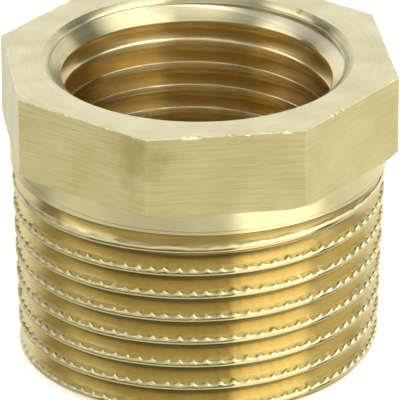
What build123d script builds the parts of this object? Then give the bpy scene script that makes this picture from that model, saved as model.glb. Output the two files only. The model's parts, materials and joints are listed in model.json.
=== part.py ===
from build123d import *
from math import atan, cos, degrees, radians, sin, tan
import os

# Reducing coupling for pipework: one piece of turned and threaded octagonal brass bar.
# Its outside taper thread screws into a 3/4 socket, and a 1/2 pipe end screws into its mouth.
# Millimetres. The origin is at the centre of the bottom end, +Z up along the thread axis.
# Two of the eight wrench flats face +X and -Y.

# Whole piece
total_height = 22.5
across_flats = 27.0
head_height = 6.0
corner_bevel_width = 0.41
corner_bevel_height = 0.24
collar_radius = 13.45
collar_height = 1.74

# Both threads: Whitworth form, 14 threads to the inch, right-handed
pitch = 25.4 / 14
flank_angle = 27.5
thread_depth = 0.640327 * pitch
tip_round = 0.137329 * pitch
overlap = 0.35
run_out_turns = 0.6

# Taper thread on the outside: 1 in 16 on the diameter, full size at the gauge plane
gauge_radius = 26.441 / 2
gauge_length = 9.5
taper = 1 / 32
outer_groove_height = 0.5
end_chamfer = 0.48

# Parallel thread in the mouth, over a plain bore of the tapping size
major_radius = 20.955 / 2
inner_thread_length = 13.0
inner_lead_length = 2.0
inner_ridge_height = 0.8
mouth_radius = 11.02
bore_chamfer = 0.5

head_bottom = total_height - head_height
collar_bottom = head_bottom - collar_height
corner_radius = across_flats / 2 / cos(radians(22.5))
minor_radius = major_radius - thread_depth
inner_thread_bottom = total_height - inner_thread_length
run_out_depth = thread_depth + overlap
run_out_slope = run_out_depth / (run_out_turns * pitch)
facing_stock = 2 * pitch


def crest_radius(height):
    """Radius of the taper thread's crests at a height above the bottom end."""
    return gauge_radius + (height - gauge_length) * taper


def thread_tooth(wall_radius, height, turns, slope):
    """Helical tooth with a rounded tip towards the axis: a groove's cutter, or a bore's ridge.

    It starts on the +X side at the given height and climbs right-handed. The wall that it
    stands on grows in radius by slope times the climb.
    """
    tip = wall_radius - thread_depth
    round_end = tip + tip_round * (1 - sin(radians(flank_angle)))
    round_half = tip_round * cos(radians(flank_angle))
    back = wall_radius + overlap
    back_half = round_half + (back - round_end) * tan(radians(flank_angle))
    cone_angle = degrees(atan(slope))
    with BuildSketch(Plane.XZ) as profile:
        with BuildLine():
            ThreePointArc(
                (round_end, height - round_half), (tip, height), (round_end, height + round_half)
            )
            Polyline(
                (round_end, height + round_half),
                (back, height + back_half),
                (back, height - back_half),
                (round_end, height - round_half),
            )
        make_face()
    with BuildPart() as tooth:
        with BuildLine() as path:
            Helix(
                pitch / cos(radians(cone_angle)),
                turns * pitch,
                wall_radius,
                center=(0, 0, height),
                cone_angle=cone_angle,
            )
        sweep(profile.sketch, path.line, is_frenet=True)
    return tooth.part


# Outside groove: full depth from below the bottom end to inside the collar, which is put on
# afterwards and ends it square
outer_start = outer_groove_height - 2 * pitch
outer_turns = (collar_bottom - outer_start) / pitch + 0.5
outer_groove = thread_tooth(crest_radius(outer_start), outer_start, outer_turns, taper)

# Inside ridge: it starts sunk in the wall, comes up over a short lead, then climbs past
# the mouth
ridge_turns_below = round((inner_thread_bottom - inner_ridge_height) / pitch)
lead_start = inner_ridge_height + ridge_turns_below * pitch
inner_start = lead_start + run_out_turns * pitch
inner_turns = (total_height - inner_start) / pitch + 1
inner_lead = thread_tooth(
    major_radius + run_out_depth, lead_start, run_out_turns, -run_out_slope
)
inner_ridge = thread_tooth(major_radius, inner_start, inner_turns, 0).rotate(
    Axis.Z, 360 * run_out_turns
)

with BuildPart() as reducer_body:
    # Turned shank: chamfered end and thread blank
    with BuildSketch(Plane.XZ):
        with BuildLine():
            Polyline(
                (0, 0),
                (crest_radius(0) - end_chamfer, 0),
                (crest_radius(end_chamfer), end_chamfer),
                (crest_radius(head_bottom), head_bottom),
                (0, head_bottom),
                close=True,
            )
        make_face()
    revolve()

    # Outside thread, closed at the top by the collar
    add(outer_groove, mode=Mode.SUBTRACT)
    with BuildSketch(Plane.XY.offset(collar_bottom)):
        Circle(collar_radius)
    extrude(amount=collar_height)

    # Octagonal head, left long at the top until the mouth is threaded
    with BuildSketch(Plane.XY.offset(head_bottom)):
        RegularPolygon(across_flats / 2, 8, major_radius=False, rotation=22.5)
    extrude(amount=head_height + facing_stock)

    # The head's lower corners are turned off by a shallow cone
    with BuildSketch(Plane.XZ):
        with BuildLine():
            Polyline(
                (corner_radius - corner_bevel_width, head_bottom),
                (corner_radius + corner_bevel_width, head_bottom),
                (corner_radius + corner_bevel_width, head_bottom + 2 * corner_bevel_height),
                close=True,
            )
        make_face()
    revolve(mode=Mode.SUBTRACT)

    # Bore of the tapping size, opening by a short cone to the inside thread's full diameter
    with BuildSketch(Plane.XZ):
        with BuildLine():
            Polyline(
                (0, 0),
                (minor_radius + bore_chamfer, 0),
                (minor_radius, bore_chamfer),
                (minor_radius, inner_thread_bottom),
                (major_radius, inner_thread_bottom + inner_lead_length),
                (major_radius, total_height + facing_stock),
                (0, total_height + facing_stock),
                close=True,
            )
        make_face()
    revolve(mode=Mode.SUBTRACT)

    # Inside thread
    add(inner_ridge)
    add(inner_lead)

    # The top is faced to length and the mouth countersunk at 45 degrees
    with BuildSketch(Plane.XZ):
        with BuildLine():
            Polyline(
                (0, total_height - mouth_radius),
                (mouth_radius, total_height),
                (across_flats, total_height),
                (across_flats, total_height + 2 * facing_stock),
                (0, total_height + 2 * facing_stock),
                close=True,
            )
        make_face()
    revolve(mode=Mode.SUBTRACT)

reducer_body.part.label = "reducer_body"
os.makedirs("parts", exist_ok=True)
export_step(reducer_body.part, "parts/reducer_body.step")
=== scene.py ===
import json
import math

import bmesh
import bpy
import numpy as np
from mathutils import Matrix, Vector

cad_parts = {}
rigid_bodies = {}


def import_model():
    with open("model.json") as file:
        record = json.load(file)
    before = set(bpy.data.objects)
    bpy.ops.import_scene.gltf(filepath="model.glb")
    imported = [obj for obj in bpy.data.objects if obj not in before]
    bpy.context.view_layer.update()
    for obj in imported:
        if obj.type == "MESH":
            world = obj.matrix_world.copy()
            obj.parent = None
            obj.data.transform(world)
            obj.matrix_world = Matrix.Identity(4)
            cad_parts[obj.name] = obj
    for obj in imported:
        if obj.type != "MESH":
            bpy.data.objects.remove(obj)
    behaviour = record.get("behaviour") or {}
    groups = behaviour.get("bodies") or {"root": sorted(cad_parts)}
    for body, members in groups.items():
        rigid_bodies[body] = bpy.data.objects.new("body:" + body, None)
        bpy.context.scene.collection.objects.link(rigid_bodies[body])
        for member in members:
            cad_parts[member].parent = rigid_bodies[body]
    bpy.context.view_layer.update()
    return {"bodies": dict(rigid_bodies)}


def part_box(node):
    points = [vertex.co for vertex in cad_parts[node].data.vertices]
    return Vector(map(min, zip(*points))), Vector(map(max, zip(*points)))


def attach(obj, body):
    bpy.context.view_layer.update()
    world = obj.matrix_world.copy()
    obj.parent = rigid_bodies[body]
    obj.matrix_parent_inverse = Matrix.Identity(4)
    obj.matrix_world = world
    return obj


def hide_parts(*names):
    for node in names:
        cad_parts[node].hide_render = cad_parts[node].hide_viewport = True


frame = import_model()
node_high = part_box("reducer_body")[1]

# Everything below is in millimetres and becomes metres when the mesh is made.
MM = 0.001
TOP = node_high.z / MM
FLAT = node_high.x / MM  # from the axis to a wrench flat
HEAD_HEIGHT = 6.0
HEAD_LOW = TOP - HEAD_HEIGHT
COLLAR_HEIGHT = 1.70
COLLAR_LOW = HEAD_LOW - COLLAR_HEIGHT

# Both threads have 14 turns to the inch.
PITCH = 25.4 / 14

# Headings are degrees round the axis, with 0 to the camera's right and 90 away from the camera.
VIEW_TURN = 8.07  # from +X to heading 0, clockwise

rng = np.random.RandomState(7)


# ---------------------------------------------------------------- finishes
STAIN_AT = (-6.6, 0.3 - FLAT, TOP - 1.3)
STAIN_COLOUR = (0.36, 0.29, 0.10, 1)
PIT_COLOUR = (0.12, 0.09, 0.03, 1)

# The top turn of the inside thread is painted paler and whiter between these heights, a painted
# highlight under the countersink.
HIGHLIGHT_BAND_FROM = TOP - 1.55
HIGHLIGHT_BAND_TO = TOP - 1.15
HIGHLIGHT_BAND_COLOUR = (0.72, 0.68, 0.50, 1)

# Bare brass, in the order of the mesh's material slots. A finish has its colour and the deeper
# colour in its marks, its roughness and how far that varies, its tool marks (which way they run,
# then how many to the mm across them and along them) and their height. Stain is how much of the
# tone comes from broad patches, the rest coming from the marks. Stretched highlights lie across
# the marks.
FINISHES = {
    "brushed": dict(
        colour=(0.64, 0.57, 0.29),
        deep=(0.46, 0.40, 0.16),
        rough=(0.32, 0.06),
        grain=("level", 8.0, 0.28),
        bump=0.016,
        pits=0.5,
        stain=0.35,
        stretched=True,
        smudged=True,
    ),
    "faced": dict(
        colour=(0.77, 0.73, 0.50),
        deep=(0.58, 0.53, 0.31),
        rough=(0.42, 0.06),
        grain=("ring", 5.0, 0.10),
        bump=0.016,
        pits=0.9,
        stain=0.55,
    ),
    # Painted highlight: the edge colour is near white so the top edge's lip and burrs and the
    # flats' corners glint.
    "edge": dict(
        colour=(0.95, 0.90, 0.62),
        deep=(0.54, 0.47, 0.21),
        rough=(0.36, 0.10),
        grain=("ring", 6.0, 2.0),
        bump=0.03,
        pits=0.9,
    ),
    "turned": dict(
        colour=(0.78, 0.71, 0.40),
        deep=(0.60, 0.54, 0.27),
        rough=(0.42, 0.05),
        grain=("helix", 9.0, 0.20),
        bump=0.010,
        pits=0.5,
        stain=0.4,
        stretched=True,
    ),
    # Painted reflection: the crest colour is a dark olive that stands in for the darker
    # surroundings the crest band reflects.
    "crest": dict(
        colour=(0.43, 0.38, 0.19),
        deep=(0.37, 0.32, 0.14),
        rough=(0.10, 0.02),
        grain=("helix", 7.0, 0.05),
        bump=0.003,
        stain=0.4,
    ),
    "tooth": dict(
        colour=(0.74, 0.67, 0.39),
        deep=(0.58, 0.51, 0.26),
        rough=(0.32, 0.06),
        grain=("helix", 5.0, 1.6),
        bump=0.005,
        stain=0.3,
    ),
    "flank": dict(
        colour=(0.73, 0.61, 0.30),
        deep=(0.66, 0.54, 0.24),
        rough=(0.25, 0.03),
        grain=("helix", 5.0, 0.10),
        bump=0.003,
        pits=0.2,
        stain=0.5,
        stretched=True,
    ),
    # Painted shade: the root colour is dark brown where shadow falls, in the thread's roots, under
    # each crest's lower edge, under the collar's edge and on the mouth's step.
    "root": dict(
        colour=(0.20, 0.155, 0.055),
        deep=(0.14, 0.105, 0.035),
        rough=(0.35, 0.05),
        grain=("helix", 5.0, 0.10),
        bump=0.006,
        stain=0.5,
    ),
    "mouth": dict(
        colour=(0.66, 0.61, 0.38),
        deep=(0.50, 0.45, 0.24),
        rough=(0.24, 0.05),
        grain=("ring", 8.0, 0.05),
        bump=0.004,
        pits=0.5,
        stain=0.4,
        stretched=True,
    ),
    "ridge": dict(
        colour=(0.90, 0.78, 0.48),
        deep=(0.78, 0.65, 0.34),
        rough=(0.24, 0.03),
        grain=("helix", 7.0, 0.10),
        bump=0.002,
        stain=0.4,
        stretched=True,
        highlight_banded=True,
    ),
    "bore": dict(
        colour=(0.86, 0.69, 0.32),
        deep=(0.72, 0.56, 0.22),
        rough=(0.22, 0.02),
        grain=("helix", 7.0, 0.10),
        bump=0.0004,
        stain=0.4,
        stretched=True,
        highlight_banded=True,
    ),
    "end": dict(
        colour=(0.62, 0.55, 0.27),
        deep=(0.54, 0.47, 0.21),
        rough=(0.35, 0.05),
        grain=("ring", 5.0, 0.10),
        bump=0.006,
    ),
}
SLOTS = list(FINISHES)


# ---------------------------------------------------------------- curves and noise
def smoothstep(x):
    x = np.clip(x, 0, 1)
    return x * x * (3 - 2 * x)


def lerp(a, b, t):
    return a + (b - a) * t


def ripple(x, spacing, seed):
    """Smooth seeded noise in -1..1 along x, with that distance between its knots."""
    draw = np.random.RandomState(seed)
    x = np.asarray(x, float) / spacing
    low = int(np.floor(x.min())) - 1
    knots = draw.uniform(-1, 1, int(np.ceil(x.max())) - low + 3)
    whole = np.floor(x).astype(int)
    part = smoothstep(x - whole)
    return knots[whole - low] * (1 - part) + knots[whole - low + 1] * part


def on_circle(radius, angle, z):
    return np.stack([radius * np.cos(angle), radius * np.sin(angle), z], -1)


def helical_grid(rows, columns, turns):
    """Quads of a sheet whose rows wind up a helix, each going on one turn up after its last column.

    g counts the rows of all turns, and j the columns.
    """
    total = rows * turns
    g, j = np.meshgrid(np.arange(total - 1), np.arange(columns), indexing="ij")
    g = g.ravel()
    j = j.ravel()
    wrap = j + 1 == columns
    right_g = g + np.where(wrap, rows, 0)
    right_j = np.where(wrap, 0, j + 1)
    keep = right_g + 1 < total
    low_left = (g * columns + j)[keep]
    low_right = (right_g * columns + right_j)[keep]
    return np.stack([low_left, low_right, low_right + columns, low_left + columns], 1)


# ---------------------------------------------------------------- outside thread
# Taper thread: 1 in 16 on the diameter, full size at the gauge plane
GAUGE_RADIUS = 26.441 / 2
GAUGE_HEIGHT = 9.5
TAPER = 1 / 32

CREST_PHASE = 1.26  # height of a crest's lower edge at the +X side
TURNS_BELOW = 2  # turns of the sheet that start below the bottom end, to be cut off
OUTER_TURNS = 10
END_RADIUS = 12.44  # of the bottom end, from where a 45 degree chamfer rises
COLLAR_SEAM = 13.40  # radius of the collar's lower edge, outside every crest below it
SEAM_GAP = 0.02

# Burr teeth on the crest's upper edge. The columns are the fractions of a tooth's space at which
# the mesh has points, and the shape is how far the tooth is up there.
TEETH = 84
TOOTH_COLUMNS = np.array([0.0, 0.24, 0.46, 0.62, 0.78, 0.90])
TOOTH_SHAPE = np.array([0.0, 0.0, 0.08, 0.82, 1.22, 0.50])

# Counted in turns from the sheet's start
BURRS_FROM = 1.4
LAST_TOOTH = 8.45
SHALLOW_FROM = 8.25
BURRS_TO = 8.95

# One turn's section: each point's finish, its height above the crest's lower edge and its depth
# below the crest. On the crest's upper edge a second pair says where the point goes on a tooth.
OUTER_SECTION = (
    # These two root rows are painted shade, the dark line under the crest's lower edge.
    ("root", -0.0965, 0.1453),
    ("root", -0.0446, 0.0758),
    # The crest rows carry that dark olive painted reflection.
    ("crest", 0.0204, 0.0294),
    ("crest", 0.080, 0.0059),
    ("crest", 0.122, 0.000),
    ("crest", 0.235, 0.000),
    ("tooth", 0.262, 0.010, 0.262, 0.000),
    ("tooth", 0.295, 0.030, 0.345, 0.010),
    ("tooth", 0.325, 0.065, 0.430, 0.024),
    ("tooth", 0.348, 0.105, 0.510, 0.046),
    ("tooth", 0.366, 0.145, 0.555, 0.085),
    ("tooth", 0.382, 0.178, 0.505, 0.170),
    ("tooth", 0.400, 0.228, 0.445, 0.290),
    ("flank", 0.530, 0.4779),
    ("flank", 0.600, 0.6123),
    ("flank", 0.905, 1.198),
    # These root rows are painted shade in the bottom of the groove.
    ("root", 0.965, 1.315),
    ("root", 1.037, 1.352),
    ("root", 1.110, 1.315),
    ("flank", 1.170, 1.198),
)
OUTER_FINISH = [point[0] for point in OUTER_SECTION]
BETWEEN_TEETH = np.array([point[1:3] for point in OUTER_SECTION])
AT_TOOTH = np.array([point[-2:] for point in OUTER_SECTION])
IS_BURR = np.array([finish == "tooth" for finish in OUTER_FINISH])


def crest_radius(z):
    return GAUGE_RADIUS + (z - GAUGE_HEIGHT) * TAPER


def outer_sheet():
    """The outside thread's points and quads, and each quad's finish."""
    rows = len(OUTER_SECTION)
    per_tooth = len(TOOTH_COLUMNS)
    columns = TEETH * per_tooth
    g = np.arange(rows * OUTER_TURNS)[:, None]
    j = np.arange(columns)[None, :]
    turn = g // rows
    row = g % rows
    tooth = turn * TEETH + j // per_tooth
    u = turn + ((j // per_tooth) + TOOTH_COLUMNS[j % per_tooth]) / TEETH

    # Each tooth has its own size, lean and height
    count = TEETH * (OUTER_TURNS + 1)
    size = rng.uniform(0.85, 1.15, count)
    lean = rng.normal(0, 0.05, count)
    tall = rng.normal(0, 0.03, count)

    # Above the last tooth the edge is a ragged lip, and no burr reaches a cut end of the sheet
    toothed = smoothstep((LAST_TOOTH - u) / 0.45)
    lip = 0.50 + 0.28 * ripple(u, 1 / 150, seed=3) + 0.12 * ripple(u, 1 / 50, seed=4)
    weight = lerp(lip, TOOTH_SHAPE[j % per_tooth] * size[tooth], toothed)
    weight = weight * smoothstep((u - BURRS_FROM) / 0.3) * (1 - smoothstep((u - BURRS_TO) / 0.15))
    on_tooth = IS_BURR[row] * (weight > 0)

    # Height above the crest's lower edge and depth below the crest, roughened on the burrs
    w = lerp(BETWEEN_TEETH[row][..., 0], AT_TOOTH[row][..., 0], weight)
    d = lerp(BETWEEN_TEETH[row][..., 1], AT_TOOTH[row][..., 1], weight)
    w = w + on_tooth * tall[tooth] * weight
    w = w + on_tooth * lerp(0.001, 0.014, weight) * ripple(u + row * 7.31, 1 / 260, seed=5)
    d = d + on_tooth * lerp(0.001, 0.010, weight) * ripple(u + row * 3.17, 1 / 300, seed=6)
    d = d * (1 - 0.35 * smoothstep((u + w / PITCH - SHALLOW_FROM) / 0.35))

    z = CREST_PHASE - TURNS_BELOW * PITCH + PITCH * u + w
    radius = np.minimum(crest_radius(z) - d, np.minimum(END_RADIUS + z, COLLAR_SEAM - SEAM_GAP))
    angle = 2 * np.pi * (u + on_tooth * lean[tooth] / TEETH)
    faces = helical_grid(rows, columns, OUTER_TURNS)
    first_row = (faces[:, 0] // columns) % rows
    return on_circle(radius, angle, z).reshape(-1, 3), faces, [OUTER_FINISH[r] for r in first_row]


# ---------------------------------------------------------------- inside thread
INNER_PHASE = 0.593  # height of a crest's lower corner at the +X side
FIRST_TURN = 3  # the sheet starts this many turns up
INNER_TURNS = 10
INNER_COLUMNS = 168
CREST_BORE = 9.49
THREAD_LOW = 9.5  # the thread's lower end, from where its depth grows over the lead
LEAD = 2.0
THREAD_DEPTH = 0.640327 * PITCH
BEVEL_FROM = 6.4  # turns above the sheet's start

# Height above a crest's lower corner and depth from the crest: the turn nearest the mouth has
# its upper corner worn round, and the turns below it have a sharper one
INNER_WORN = np.array(
    [
        (0.000, 0.025),
        (0.025, 0.000),
        (0.330, 0.000),
        (0.385, 0.015),
        (0.440, 0.055),
        (0.480, 0.110),
        (0.940, 0.985),
        (1.300, 0.985),
    ]
)
CORNER_FROM = 2  # the upper corner's first point in the section
CORNER_TO = 5
INNER_SHARP = INNER_WORN.copy()
INNER_SHARP[CORNER_FROM : CORNER_TO + 1] = [
    (0.405, 0.000),
    (0.435, 0.008),
    (0.450, 0.025),
    (0.462, 0.068),
]
INNER_FINISH = ["ridge"] * 5 + ["bore"] * 3


def inner_sheet():
    """The inside thread's points and quads, and each quad's finish."""
    rows = len(INNER_WORN)
    g = np.arange(rows * INNER_TURNS)[:, None]
    j = np.arange(INNER_COLUMNS)[None, :]
    turn = g // rows
    row = g % rows
    u = turn + j / INNER_COLUMNS
    corner = (row >= CORNER_FROM) & (row <= CORNER_TO)
    sharp = corner * (1.0 - smoothstep((u - BEVEL_FROM) / 0.7))
    table = INNER_WORN[row] - sharp[..., None] * (INNER_WORN - INNER_SHARP)[row]
    rough = ripple(u + row * 0.1, 1 / 90, seed=8)
    uneven = (corner & (row > CORNER_FROM)) * smoothstep(u - 2.6) * 0.008 * rough
    table = table + uneven[..., None]
    z = INNER_PHASE + FIRST_TURN * PITCH + PITCH * u + table[..., 0]
    d = np.minimum(table[..., 1], np.maximum(0, (z - THREAD_LOW) * THREAD_DEPTH / LEAD))
    faces = helical_grid(rows, INNER_COLUMNS, INNER_TURNS)
    first_row = (faces[:, 0] // INNER_COLUMNS) % rows
    points = on_circle(CREST_BORE + d, 2 * np.pi * u, z).reshape(-1, 3)
    return points, faces, [INNER_FINISH[r] for r in first_row]


# ---------------------------------------------------------------- head and collar
SIDES = 8
SIDE_COLUMNS = 72
COLUMNS = SIDES * SIDE_COLUMNS
SIDE_TURN = 360 / SIDES
HALF_ANGLE_TAN = math.tan(math.radians(SIDE_TURN / 2))
HALF_SIDE = FLAT * HALF_ANGLE_TAN
CORNER_BEVEL = 0.011  # taken off each end of a flat, so the vertical edges aren't sharp
BURR = 0.03  # the faces are this far inside the size, and burrs stand up to it

COLLAR = 13.45
SCRATCH = 0.30  # height above the collar's lower edge of a fine tool line
SCRATCH_DEPTH = 0.065

# The tool line drifts up and back down again, over these degrees clockwise from a heading
DRIFT = 0.5
DRIFT_HEADING = -110
DRIFT_BACK = 150
DRIFT_EASE = 60

# The head's lower corners are turned off by a shallow cone from this radius out
CONE_RADIUS = 14.2
CONE_SLOPE = 0.24 / 0.41
FLAT_HEIGHTS = (0.08, 0.8, 1.8, 2.9, 4.0, 5.0, 5.6, 5.80)

MOUTH = 11.02
NICK_HEADING = 48.7
NICK_DEPTH = 0.13
CONE = TOP - 10.96  # the inner countersink is where height less radius is this


def head_rows():
    """Rows of points from the collar's lower edge, over the head, into the countersink."""
    along = np.tile(np.linspace(-1, 1, SIDE_COLUMNS), SIDES)
    normal = np.radians(SIDE_TURN * np.repeat(np.arange(SIDES), SIDE_COLUMNS))
    step = HALF_SIDE * 2 / SIDE_COLUMNS
    s = np.arange(COLUMNS) * step
    length = s[-1] + step

    def loop(spacing, seed):
        """Noise that joins up round the head."""
        first = ripple(s, spacing, seed)
        second = ripple(s - length, spacing, seed + 500)
        fade = smoothstep((s - length * 0.93) / (length * 0.07))
        return lerp(first, second, fade)

    def octagon(inset, z):
        x = along * (HALF_SIDE - CORNER_BEVEL - inset * HALF_ANGLE_TAN)
        r = FLAT - BURR - inset
        across = r * np.cos(normal) - x * np.sin(normal)
        forward = r * np.sin(normal) + x * np.cos(normal)
        return np.stack([across, forward, z + 0 * x], 1)

    edge = octagon(0, 0)
    angle = np.arctan2(edge[:, 1], edge[:, 0])
    reach = np.hypot(edge[:, 0], edge[:, 1])

    def ring(radius, z):
        return on_circle(radius, angle, z + 0 * angle)

    rows = []

    def add(points, finish):
        rows.append((points, finish))

    # Collar: rounded lower edge in painted shade, a fine tool line that drifts up on one side, and
    # the wall
    add(ring(COLLAR_SEAM, COLLAR_LOW), "turned")
    add(ring(13.425, COLLAR_LOW + 0.03), "root")
    add(ring(13.445, COLLAR_LOW + 0.09), "root")
    add(ring(COLLAR, COLLAR_LOW + 0.15), "turned")
    past = np.mod(DRIFT_HEADING - np.degrees(angle) - VIEW_TURN, 360)
    drift = smoothstep(past / DRIFT_EASE) * (1 - smoothstep((past - DRIFT_BACK) / DRIFT_EASE))
    scratch = COLLAR_LOW + DRIFT * drift + SCRATCH
    add(ring(COLLAR - 0.02, scratch), "turned")
    add(ring(COLLAR - SCRATCH_DEPTH, scratch + 0.025), "turned")
    add(ring(COLLAR, scratch + 0.06), "turned")
    add(ring(COLLAR, HEAD_LOW - 0.8), "turned")
    add(ring(COLLAR, HEAD_LOW - 0.03), "turned")

    # The head's underside, its lower corners and its flats
    add(ring(np.minimum(reach - 0.015, COLLAR + 0.01), HEAD_LOW - 0.002), "turned")
    add(ring(np.minimum(reach - 0.008, CONE_RADIUS), HEAD_LOW), "turned")
    lift = np.maximum(0, reach - CONE_RADIUS) * CONE_SLOPE + 0.012
    add(np.column_stack([edge[:, 0], edge[:, 1], HEAD_LOW + lift]), "brushed")
    for height in FLAT_HEIGHTS:
        side = octagon(0, HEAD_LOW + height)
        side[:, 2] = np.maximum(side[:, 2], HEAD_LOW + lift + height * 0.2)
        add(side, "brushed")

    # The top edge: small chips and burrs left where the facing tool ran off the flats, the lip and
    # burrs painted near white as a highlight
    chip = np.clip(loop(0.55, 11) * 1.9 - 0.45, 0, 1) * np.clip(0.6 + loop(0.20, 12), 0, 1)
    burr = np.clip(loop(1.1, 13) * 1.6 + 0.1, 0, 1) * np.clip(0.4 + loop(0.25, 14), 0, 1)
    fine = loop(0.25, 15)
    out = np.stack([np.cos(normal), np.sin(normal)], 1)
    face = TOP - BURR
    low_edge = octagon(0, 0)
    low_edge[:, 2] = face - 0.05 - 0.10 * chip - 0.02 * fine
    add(low_edge, "brushed")
    lip = octagon(0, 0)
    lip[:, :2] += out * (BURR * burr - 0.12 * chip - 0.012)[:, None]
    lip[:, 2] = face - 0.012 + 0.9 * BURR * burr - 0.05 * chip
    add(lip, "edge")
    top_edge = octagon(0.05, 0)
    top_edge[:, :2] -= out * (0.13 * chip + 0.07 * burr + 0.02 * fine)[:, None]
    top_edge[:, 2] = face + 0.1 * BURR * burr
    add(top_edge, "edge")
    add(octagon(0.35, face), "faced")
    for radius in (12.6, 11.9, 11.35):
        add(ring(radius, face), "faced")

    # The mouth: an outer cone with a nick in its rim, and a small step down to the inner one, the
    # step's ledge in painted shade
    nick = np.exp(-((np.degrees(angle) + VIEW_TURN - NICK_HEADING) ** 2))
    mouth = MOUTH + 0.012 * loop(0.7, 16) + NICK_DEPTH * nick
    add(ring(mouth + 0.03, face), "faced")
    add(ring(mouth, face - 0.02), "mouth")
    add(ring(10.80, TOP - 0.20), "mouth")
    add(ring(10.61, TOP - 0.38), "mouth")
    add(ring(10.59, TOP - 0.435), "mouth")
    add(ring(10.55, TOP - 0.46), "mouth")
    add(ring(10.50, TOP - 0.46), "root")
    return rows


# ---------------------------------------------------------------- one closed mesh
FILL_RADIUS = 8.0  # a ring inside the bore's fill, later drawn down to the bottom end
BORE_CHAMFER = 0.5
SHARP_FROM = 33  # degrees between faces
CUT_SNAP = 1e-5  # a point this near a cut is on it
LEVEL_SNAP = 1e-3  # and an open edge this near a level is at it


def sheet_to_bmesh(points, faces, finishes):
    bm = bmesh.new()
    verts = [bm.verts.new(p) for p in points.tolist()]
    for corners, finish in zip(faces.tolist(), finishes):
        bm.faces.new([verts[i] for i in corners]).material_index = SLOTS.index(finish)
    loose = [v for v in bm.verts if not v.link_faces]
    bmesh.ops.delete(bm, geom=loose, context="VERTS")
    return bm


def head_to_bmesh():
    """The head's rows joined by quads. The flats' quads at the corners are broken edges, painted
    pale as a highlight.
    """
    rows = head_rows()
    bm = bmesh.new()
    points = np.concatenate([row for row, _ in rows])
    verts = [bm.verts.new(p) for p in points.tolist()]
    for r in range(len(rows) - 1):
        finish = rows[r + 1][1]
        for c in range(COLUMNS):
            n = (c + 1) % COLUMNS
            low = r * COLUMNS
            high = low + COLUMNS
            face = bm.faces.new([verts[i] for i in (low + c, low + n, high + n, high + c)])
            at_corner = n % SIDE_COLUMNS == 0 and finish == "brushed"
            face.material_index = SLOTS.index("edge" if at_corner else finish)
    return bm


def cut(bm, z, keep_below):
    bmesh.ops.bisect_plane(
        bm,
        geom=bm.verts[:] + bm.edges[:] + bm.faces[:],
        dist=CUT_SNAP,
        plane_co=(0, 0, z),
        plane_no=(0, 0, 1 if keep_below else -1),
        clear_outer=True,
    )


def open_loop(bm, z):
    """The open edges that lie at a height."""
    return [
        e
        for e in bm.edges
        if e.is_boundary and all(abs(v.co.z - z) < LEVEL_SNAP for v in e.verts)
    ]


def shift_by_radius(bm, sign):
    for v in bm.verts:
        v.co.z += sign * math.hypot(v.co.x, v.co.y)


def join(parts):
    whole = bmesh.new()
    for bm in parts:
        held = bpy.data.meshes.new("held")
        bm.to_mesh(held)
        bm.free()
        whole.from_mesh(held)
        bpy.data.meshes.remove(held)
    return whole


def fill(bm, edges, finish):
    made = bmesh.ops.triangle_fill(bm, use_beauty=True, use_dissolve=False, edges=edges)
    for f in made["geom"]:
        if isinstance(f, bmesh.types.BMFace):
            f.material_index = SLOTS.index(finish)


def add_plain_bore(bm, level):
    """Close the inside thread at a level with a flat fill, then draw that down into a bore."""
    angles = np.linspace(0, 2 * np.pi, INNER_COLUMNS, endpoint=False)
    circle = [
        bm.verts.new((FILL_RADIUS * math.cos(a), FILL_RADIUS * math.sin(a), level)) for a in angles
    ]
    ring = [bm.edges.new((circle[i - 1], circle[i])) for i in range(INNER_COLUMNS)]
    fill(bm, open_loop(bm, level) + ring, "bore")
    wide = CREST_BORE + BORE_CHAMFER
    low_circle = []
    for v, a in zip(circle, angles):
        v.co = (CREST_BORE * math.cos(a), CREST_BORE * math.sin(a), BORE_CHAMFER)
        low_circle.append(bm.verts.new((wide * math.cos(a), wide * math.sin(a), 0)))
    for i in range(INNER_COLUMNS):
        f = bm.faces.new((circle[i - 1], circle[i], low_circle[i], low_circle[i - 1]))
        f.material_index = SLOTS.index("end")


def build_body():
    # The inside thread meets the countersink's cone, which is level once heights lose the radius
    level = THREAD_LOW - 0.05
    inner = sheet_to_bmesh(*inner_sheet())
    cut(inner, level, keep_below=False)
    shift_by_radius(inner, -1)
    cut(inner, CONE, keep_below=True)
    head = head_to_bmesh()
    shift_by_radius(head, -1)
    bm = join([inner, head])
    fill(bm, open_loop(bm, CONE), "mouth")
    shift_by_radius(bm, 1)
    add_plain_bore(bm, level)

    outer = sheet_to_bmesh(*outer_sheet())
    cut(outer, 0, keep_below=False)
    cut(outer, COLLAR_LOW, keep_below=True)
    bm = join([bm, outer])
    fill(bm, open_loop(bm, COLLAR_LOW), "turned")
    fill(bm, open_loop(bm, 0), "end")
    bmesh.ops.recalc_face_normals(bm, faces=bm.faces[:])
    bmesh.ops.scale(bm, vec=(MM, MM, MM), verts=bm.verts[:])
    mesh = bpy.data.meshes.new("reducer_brass")
    bm.to_mesh(mesh)
    bm.free()
    mesh.polygons.foreach_set("use_smooth", [True] * len(mesh.polygons))
    mesh.set_sharp_from_angle(angle=math.radians(SHARP_FROM))
    made = bpy.data.objects.new("reducer_brass", mesh)
    bpy.context.scene.collection.objects.link(made)
    return made


# ---------------------------------------------------------------- materials
MARKS_RADIUS = 13  # at which a mark's length round the axis is right


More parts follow.
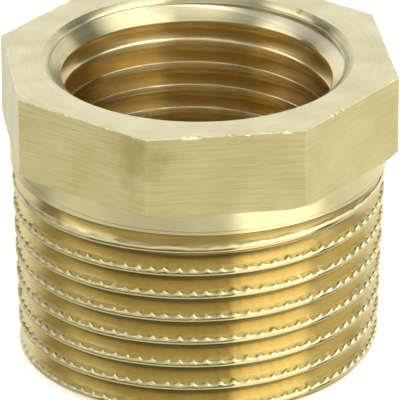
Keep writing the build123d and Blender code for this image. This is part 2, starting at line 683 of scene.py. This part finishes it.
class Tree:
    """Short calls for building a node tree."""

    def __init__(self, node_tree):
        self.nodes = node_tree.nodes
        self.links = node_tree.links
        self.nodes.clear()

    def put(self, made, key, value):
        if isinstance(value, bpy.types.NodeSocket):
            self.links.new(value, made.inputs[key])
        else:
            made.inputs[key].default_value = value

    def node(self, kind, inputs=None, **settings):
        made = self.nodes.new(kind)
        for key, value in settings.items():
            setattr(made, key, value)
        for key, value in (inputs or {}).items():
            self.put(made, key, value)
        return made

    def math(self, operation, a, b=0.0):
        return self.node("ShaderNodeMath", {0: a, 1: b}, operation=operation).outputs[0]

    def noise(self, vector, scale, detail=3.0, rough=0.55):
        settings = {"Vector": vector, "Scale": scale, "Detail": detail, "Roughness": rough}
        return self.node("ShaderNodeTexNoise", settings).outputs[0]

    def span(self, value, low, high, to_low=0.0, to_high=1.0):
        """The value's place between low and high, as a value between to_low and to_high."""
        ends = {"From Min": low, "From Max": high, "To Min": to_low, "To Max": to_high}
        return self.node("ShaderNodeMapRange", {"Value": value, **ends}).outputs[0]

    def mix(self, factor, a, b):
        """Two colours blended: the first at factor 0, the second at 1."""
        made = self.node("ShaderNodeMix", {"Factor": factor}, data_type="RGBA")
        self.put(made, 6, a)
        self.put(made, 7, b)
        return made.outputs[2]

    def combine(self, x, y, z):
        return self.node("ShaderNodeCombineXYZ", {0: x, 1: y, 2: z}).outputs[0]


def new_material(name):
    material = bpy.data.materials.new(name)
    material.use_nodes = True
    return material, Tree(material.node_tree)


def mark_lines(t, way, across, along, x, y, z):
    """Coordinates for noise that is drawn out along tool marks."""
    if way == "level":
        return t.combine(
            t.math("MULTIPLY", x, along),
            t.math("MULTIPLY", y, along),
            t.math("MULTIPLY", z, across),
        )
    radius = t.math("SQRT", t.math("ADD", t.math("MULTIPLY", x, x), t.math("MULTIPLY", y, y)))
    turn = t.math("ARCTAN2", y, x)
    round_axis = t.math("MULTIPLY", turn, along * MARKS_RADIUS)
    outwards = t.math("MULTIPLY", radius, across)
    if way == "ring":
        return t.combine(round_axis, outwards, 0.0)
    climb = t.math("MULTIPLY", turn, PITCH / (2 * math.pi))
    return t.combine(round_axis, outwards, t.math("MULTIPLY", t.math("SUBTRACT", z, climb), across))


def brass(
    name,
    colour,
    deep,
    rough,
    grain,
    bump,
    pits=0.0,
    stain=0.3,
    stretched=False,
    highlight_banded=False,
    smudged=False,
):
    """Bare brass with one of the finishes."""
    material, t = new_material(name)
    at = t.node("ShaderNodeTexCoord").outputs["Object"]
    to_mm = {0: at, 1: (1 / MM, 1 / MM, 1 / MM)}
    mm = t.node("ShaderNodeVectorMath", to_mm, operation="MULTIPLY").outputs[0]
    x, y, z = t.node("ShaderNodeSeparateXYZ", {0: mm}).outputs
    marks = t.noise(mark_lines(t, *grain, x, y, z), scale=1.0, detail=4.0, rough=0.65)
    fine = t.noise(mm, scale=9.0, rough=0.6)
    broad = t.noise(mm, scale=0.35, rough=0.5)

    tone = t.math("ADD", t.math("MULTIPLY", broad, stain), t.math("MULTIPLY", marks, 1 - stain))
    shade = t.mix(t.span(tone, 0.32, 0.68), (*deep, 1), (*colour, 1))
    if smudged:
        to_stain = {0: mm, 1: STAIN_AT}
        away = t.node("ShaderNodeVectorMath", to_stain, operation="DISTANCE").outputs["Value"]
        ragged = t.math("MULTIPLY", t.noise(mm, scale=0.8, detail=4.0), 5.0)
        patch = t.span(t.math("ADD", away, ragged), 3.4, 5.6, to_low=0.75, to_high=0.0)
        shade = t.mix(patch, shade, STAIN_COLOUR)
    if highlight_banded:
        # Painted highlight: the top turn of the inside thread paler and whiter
        shade = t.mix(t.span(z, HIGHLIGHT_BAND_FROM, HIGHLIGHT_BAND_TO), shade, HIGHLIGHT_BAND_COLOUR)
    height = t.math("ADD", marks, t.math("MULTIPLY", fine, 0.25))
    if pits:
        cells = t.node("ShaderNodeTexVoronoi", {"Vector": mm, "Scale": 2.2}, feature="F1")
        pit = t.span(cells.outputs["Distance"], 0.03, 0.07, to_low=1.0, to_high=0.0)
        pit = t.math("MULTIPLY", pit, t.span(t.noise(mm, scale=1.3), 0.52, 0.6))
        pit = t.math("MULTIPLY", pit, pits)
        shade = t.mix(pit, shade, PIT_COLOUR)
        height = t.math("SUBTRACT", height, pit)
    middle, spread = rough
    wear = t.math("ADD", t.math("MULTIPLY", marks, 0.6), t.math("MULTIPLY", fine, 0.4))
    roughness = t.span(wear, 0.3, 0.7, to_low=middle - spread, to_high=middle + spread)
    bumped = t.node("ShaderNodeBump", {"Height": height, "Strength": 1.0, "Distance": bump * MM})
    shader = t.node(
        "ShaderNodeBsdfPrincipled",
        {
            "Base Color": shade,
            "Metallic": 1.0,
            "Roughness": roughness,
            "Normal": bumped.outputs[0],
            "Anisotropic": 1.0 if stretched else 0.0,
            "Anisotropic Rotation": 0.25,  # a quarter turn, so highlights cross the marks
        },
    )
    if stretched:
        round_z = t.node("ShaderNodeTangent", direction_type="RADIAL", axis="Z")
        t.put(shader, "Tangent", round_z.outputs[0])
    t.node("ShaderNodeOutputMaterial", {0: shader.outputs[0]})
    return material


# ---------------------------------------------------------------- stage, light and camera
FLOOR_HALF = 4000
FLOOR_PAPER = ((0.80, 0.80, 0.79, 1), (0.84, 0.84, 0.83, 1))
UNDER_RADIUS = 12
UNDER_POINTS = 48
UNDER_DEPTH = 0.02
UNDER_SHADOW_COLOUR = (0.14, 0.13, 0.11, 1)

LENS = 525.9
SENSOR = 36.0
VIEW_RISE = 25.58  # degrees that the camera looks down by
VIEW_DISTANCE = 419.04
AIM_RIGHT = 0.114
AIM_BELOW_TOP = 11.314
NEAR = 0.01  # metres
FAR = 50  # metres

# The light tent's patches, each over those before it: from, to and softness of azimuth, from, to
# and softness of elevation, and brightness. Azimuth 0 is the camera's side and 90 is its right.
TENT = (
    (-180, 180, 0, -90, 90, 0, 0.85),
    (-180, 180, 0, -95, -40, 4, 1.45),
    (-73, 25, 3, -36, -21, 2, 0.32),
    (-75, 75, 5, -19, 12, 3, 1.15),
    (-75, 75, 5, 15, 64, 4, 0.60),
    (-82, -45, 2, 15, 62, 4, 0.36),
    (-144, -101, 2, 14, 35, 3, 0.15),
    (-144, -101, 2, 35, 80, 3, 0.40),
    (-142, -123, 2, 6, 28, 3, 1.10),
    (-122, -97, 2, -6, 16, 3, 0.20),
    (-106, -68, 2, 30, 60, 3, 2.50),
    (95, 144, 2, 16, 78, 4, 0.22),
    (123, 142, 2, 6, 28, 3, 1.10),
    (84, 185, 3, -50, 10, 4, 1.40),
    (74, 97, 2, -36, -21, 2, 0.32),
    (-185, -130, 3, -50, 10, 4, 1.05),
    (144, 185, 2, 10, 60, 4, 1.15),
    (-185, -144, 2, 10, 60, 4, 1.15),
    (-180, 180, 0, 78, 95, 4, 2.40),
    (23.4, 78, 1.2, -75, 15, 2, 2.40),
    (31, 95, 1.5, 15, 70, 3, 2.60),
)


def level_direction(heading):
    a = math.radians(heading - VIEW_TURN)
    return Vector((math.cos(a), math.sin(a), 0))


def flat_object(name, points, material):
    """One flat face on the floor, from points in millimetres."""
    mesh = bpy.data.meshes.new(name)
    corners = [(x * MM, y * MM, z * MM) for x, y, z in points]
    mesh.from_pydata(corners, [], [tuple(range(len(corners)))])
    mesh.materials.append(material)
    made = bpy.data.objects.new(name, mesh)
    bpy.context.scene.collection.objects.link(made)
    return made


def floor():
    """Pale paper that reflections don't see, and under the piece its footprint, dark paper that
    paints its shadow.
    """
    paper, t = new_material("floor_paper")
    at = t.node("ShaderNodeTexCoord").outputs["Object"]
    lit = {
        "Base Color": t.mix(t.noise(at, scale=900.0, detail=2.0), *FLOOR_PAPER),
        "Roughness": 0.7,
        "Emission Color": (1, 1, 1, 1),
        "Emission Strength": 0.5,
    }
    t.node("ShaderNodeOutputMaterial", {0: t.node("ShaderNodeBsdfPrincipled", lit).outputs[0]})
    h = FLOOR_HALF
    whole = flat_object("floor", [(-h, -h, 0), (h, -h, 0), (h, h, 0), (-h, h, 0)], paper)
    whole.visible_glossy = False

    # Painted shadow: a dark disc under the piece where its shade falls.
    dark, t = new_material("floor_paper_painted_shadow")
    unlit = {"Base Color": UNDER_SHADOW_COLOUR, "Roughness": 0.7}
    t.node("ShaderNodeOutputMaterial", {0: t.node("ShaderNodeBsdfPrincipled", unlit).outputs[0]})
    around = np.linspace(0, 2 * np.pi, UNDER_POINTS, endpoint=False)
    disc = [(UNDER_RADIUS * math.cos(a), UNDER_RADIUS * math.sin(a), -UNDER_DEPTH) for a in around]
    under = flat_object("floor_under", disc, dark)


def world():
    """The light tent: its brightness by direction."""
    made = bpy.data.worlds.new("tent")
    bpy.context.scene.world = made
    made.use_nodes = True
    t = Tree(made.node_tree)
    away = t.node("ShaderNodeTexCoord").outputs["Generated"]
    by_view = {"Vector": away, "Angle": math.radians(VIEW_TURN)}
    turned = t.node("ShaderNodeVectorRotate", by_view, rotation_type="Z_AXIS").outputs[0]
    x, y, z = t.node("ShaderNodeSeparateXYZ", {0: turned}).outputs
    toward = t.math("MULTIPLY", y, -1.0)
    around = t.math("MULTIPLY", t.math("ARCTAN2", x, toward), 180 / math.pi)
    above = t.math("MULTIPLY", t.math("ARCSINE", z), 180 / math.pi)
    level = TENT[0][-1]
    for left, right, soft_a, low, high, soft_e, brightness in TENT[1:]:
        over_low = t.span(above, low - soft_e, low + soft_e)
        under_high = t.span(above, high - soft_e, high + soft_e, to_low=1, to_high=0)
        mask = t.math("MULTIPLY", over_low, under_high)
        if soft_a:
            past_left = t.span(around, left - soft_a, left + soft_a)
            short_of_right = t.span(around, right - soft_a, right + soft_a, to_low=1, to_high=0)
            mask = t.math("MULTIPLY", t.math("MULTIPLY", mask, past_left), short_of_right)
        rest = t.math("MULTIPLY", level, t.math("SUBTRACT", 1.0, mask))
        level = t.math("ADD", rest, t.math("MULTIPLY", mask, brightness))
    back = t.node("ShaderNodeBackground", {"Color": (1, 1, 1, 1), "Strength": level})
    t.node("ShaderNodeOutputWorld", {0: back.outputs[0]})


def camera():
    data = bpy.data.cameras.new("camera")
    data.sensor_width = SENSOR
    data.lens = LENS
    data.clip_start = NEAR
    data.clip_end = FAR
    made = bpy.data.objects.new("camera", data)
    bpy.context.scene.collection.objects.link(made)
    e = math.radians(VIEW_RISE)
    towards = level_direction(90) * math.cos(e) - Vector((0, 0, math.sin(e)))
    target = (level_direction(0) * AIM_RIGHT + Vector((0, 0, TOP - AIM_BELOW_TOP))) * MM
    made.location = target - towards * VIEW_DISTANCE * MM
    made.rotation_mode = "QUATERNION"
    made.rotation_quaternion = towards.to_track_quat("-Z", "Y")
    bpy.context.scene.camera = made


body = build_body()
for slot, finish in FINISHES.items():
    body.data.materials.append(brass("brass_" + slot, **finish))
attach(body, sorted(frame["bodies"])[0])
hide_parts("reducer_body")

floor()
world()
camera()
bpy.context.scene.view_settings.view_transform = "Standard"
